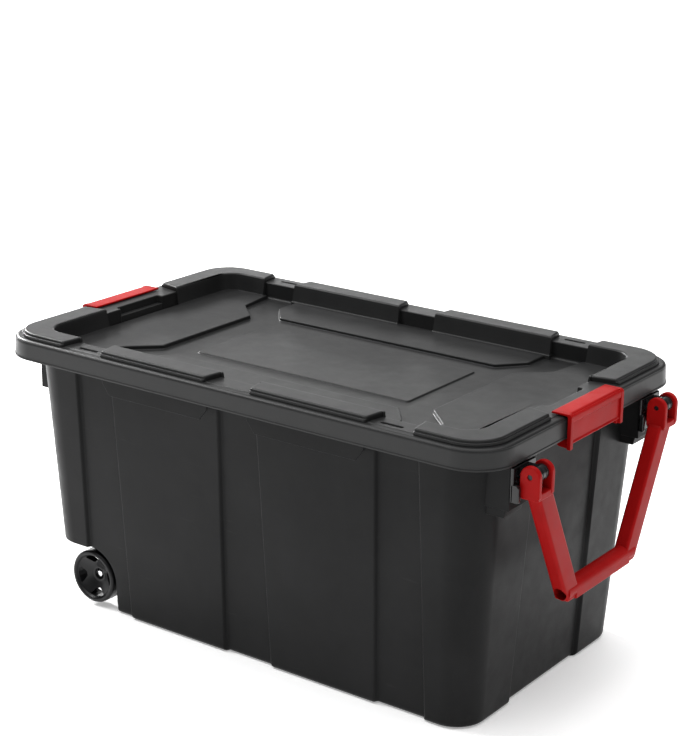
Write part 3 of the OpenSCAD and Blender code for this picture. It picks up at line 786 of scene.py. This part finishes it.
def wheel_geo():
    """Outer face towards +y, about the axis, y from the wheel's inner plane."""
    R = 43.0
    y0 = 183.0
    rad = math.radians
    prof = [(4.05, y0 - 6), (10.4, y0 - 6), (11, y0 - 5.4), (11, y0 + 3), (33.4, y0 + 9.6), (34.6, y0 + 9.2), (35, y0 + 8.2), (35, y0 + 1.6),
            (35.8, y0 + 0.8), (40.5, y0)]
    prof += [(R - 3 + 3 * math.cos(rad(t)), y0 + 3 + 3 * math.sin(rad(t))) for t in range(-80, 1, 20)]
    prof += [(R, y0 + 9), (R - 0.5, y0 + 9.6), (R - 0.5, y0 + 18.2), (R, y0 + 18.8)]
    prof += [(R - 4 + 4 * math.cos(rad(t)), y0 + 24 + 4 * math.sin(rad(t))) for t in range(0, 91, 15)]
    prof += [(37.7, y0 + 28), (36.5, y0 + 27.5), (35.5, y0 + 26.4), (34.9, y0 + 25.0), (34.2, y0 + 24.0), (33.0, y0 + 23.3),
             (24, y0 + 18.6), (13.2, y0 + 13.3), (12.0, y0 + 12.9), (9.6, y0 + 12.6), (8.9, y0 + 12.2), (8.5, y0 + 11.4), (8.5, y0 + 5), (4.05, y0 + 5)]
    g = lathe(prof, (0, 0, 0), n=96)
    for q in range(4):
        a = rad(90 * q + 8.5)
        w_ = [(21.5, -3.5), (30, -15), (32.2, -10), (33.6, -4), (33.6, 4), (32.2, 10), (30, 15), (21.5, 3.5)]
        w_ = [(u * math.cos(a) - v * math.sin(a), u * math.sin(a) + v * math.cos(a)) for u, v in w_]
        w_ = round_poly(ccw(w_), 1.6, 3)
        g = boolean(g, ("DIFFERENCE", prism(w_, "y", y0 - 20, y0 + 60)))
    return bevelled(g, 0.7, 2, 50)


wg = wheel_geo()
for s, nm in ((-1, "left"), (1, "right")):
    g = Geo().add([(x - 315, s * y, z + 49) for x, y, z in wg.v], wg.f if s > 0 else [list(reversed(q)) for q in wg.f])
    o = make("wheel_moulding_" + nm, g, M_WHEEL, "wheel_%s_body" % nm)
    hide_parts("wheel_" + nm)
    c = Geo()
    y = 188.6
    prof = [(4.03, y), (7.0, y), (7.5, y + 0.4), (7.4, y + 1.2), (5.8, y + 1.8), (5.3, y + 3.8), (4.4, y + 5.2), (2.2, y + 5.85), (0, y + 6.0),
            (0, y + 4.6), (4.03, y + 4.6)]
    lathe([(r, s * h) for r, h in prof], (-315, 0, 49), n=40, geo=c)
    o = make("axle_cap_pressing_" + nm, c, M_CAP, "tub_body")
    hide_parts("axle_cap_" + nm)

# carried-over nodes keep their shape and get their finish
for nm, mt in (("axle", M_STEEL), ("handle_pin_left", M_PIN), ("handle_pin_right", M_PIN)):
    o = bpy.data.objects.get(nm)
    if o is None:
        continue
    if not o.material_slots:
        o.data.materials.append(mt)
    for sl in o.material_slots:
        sl.material = mt

# ------------------------------------------------------------ floor and light
fm, nt, sh = nodes_of("floor_paper")
tc = nt.nodes.new("ShaderNodeTexCoord")
n = noise(nt, tc.outputs["Object"], 3, 3)
nt.links.new(mix(nt, n, (0.90, 0.90, 0.90), (0.93, 0.93, 0.93)), sh.inputs["Base Color"])
sh.inputs["Roughness"].default_value = 0.9
sh.inputs["Specular IOR Level"].default_value = 0.1
sh.inputs["Emission Color"].default_value = (1.0, 1.0, 1.0, 1.0)
sh.inputs["Emission Strength"].default_value = 0.3
me = bpy.data.meshes.new("floor_sheet")
S = 14.0
me.from_pydata([(-S, -S, -0.0005), (S, -S, -0.0005), (S, S, -0.0005), (-S, S, -0.0005)], [], [[0, 1, 2, 3]])
fl_ob = bpy.data.objects.new("floor_sheet", me)
scene.collection.objects.link(fl_ob)
me.materials.append(fm)

w = bpy.data.worlds.new("studio")
scene.world = w
w.use_nodes = True
wn = w.node_tree
wn.nodes.clear()
wo = wn.nodes.new("ShaderNodeOutputWorld")
bg = wn.nodes.new("ShaderNodeBackground")
bg.inputs["Color"].default_value = (1, 1, 1, 1)
bg.inputs["Strength"].default_value = 0.24
bg2 = wn.nodes.new("ShaderNodeBackground")
bg2.inputs["Color"].default_value = (1, 1, 1, 1)
bg2.inputs["Strength"].default_value = 1.05
lp = wn.nodes.new("ShaderNodeLightPath")
ms = wn.nodes.new("ShaderNodeMixShader")
wn.links.new(lp.outputs["Is Camera Ray"], ms.inputs["Fac"])
wn.links.new(bg.outputs[0], ms.inputs[1])
wn.links.new(bg2.outputs[0], ms.inputs[2])
wn.links.new(ms.outputs[0], wo.inputs["Surface"])


def area(name, loc, target, size, power, color=(1, 1, 1)):
    l = bpy.data.lights.new(name, "AREA")
    l.shape = "RECTANGLE"
    l.size, l.size_y = size
    l.energy = power
    l.color = color
    o = bpy.data.objects.new(name, l)
    o.location = loc
    o.rotation_euler = (Vector(target) - Vector(loc)).to_track_quat("-Z", "Y").to_euler()
    scene.collection.objects.link(o)
    return o


def sun(name, direction, angle, strength):
    l = bpy.data.lights.new(name, "SUN")
    l.angle = math.radians(angle)
    l.energy = strength
    o = bpy.data.objects.new(name, l)
    o.rotation_euler = Vector(direction).to_track_quat("-Z", "Y").to_euler()
    scene.collection.objects.link(o)
    return o


sun("overhead", (0.04, -0.02, -1.0), 75, 3.0)
area("key", (-1.9, -1.0, 2.6), (0, 0, 0.3), (0.8, 0.8), 36)
area("back_soft", (-1.6, 2.9, 1.9), (0, 0, 0.42), (2.6, 1.3), 8)
area("back_low", (-2.5, 2.9, 0.55), (0, 0, 0.42), (3.2, 0.8), 40)
area("rim_left", (-2.7, 0.8, 1.6), (0, 0, 0.4), (0.3, 0.6), 120)
area("side_right", (3.2, -0.3, 1.2), (0.2, 0, 0.25), (1.2, 1.4), 1.5)

# ------------------------------------------------------------------- camera
AZ, EL, ROLL, F = 35.95, 17.53, -0.69, 1890.12
a, el, ro = math.radians(AZ), math.radians(EL), math.radians(ROLL)
back = Vector((math.sin(a) * math.cos(el), -math.cos(a) * math.cos(el), math.sin(el)))
fwd = -back
right = fwd.cross(Vector((0, 0, 1))).normalized()
down = fwd.cross(right)
rx = math.cos(ro) * right + math.sin(ro) * down
dx = -math.sin(ro) * right + math.cos(ro) * down
cam = bpy.data.cameras.new("camera")
cam.sensor_fit = "AUTO"
cam.sensor_width = 36.0
cam.lens = F * 36.0 / 736.0
cam.clip_end = 60
co = bpy.data.objects.new("camera", cam)
m = Matrix.Identity(4)
for i, ax in enumerate((rx, -dx, back)):
    for k in range(3):
        m[k][i] = ax[k]
for k, v in enumerate((1.61037, -2.20803, 1.26770)):
    m[k][3] = v
co.matrix_world = m
scene.collection.objects.link(co)
scene.camera = co
scene.view_settings.view_transform = "Standard"
scene.view_settings.look = "None"
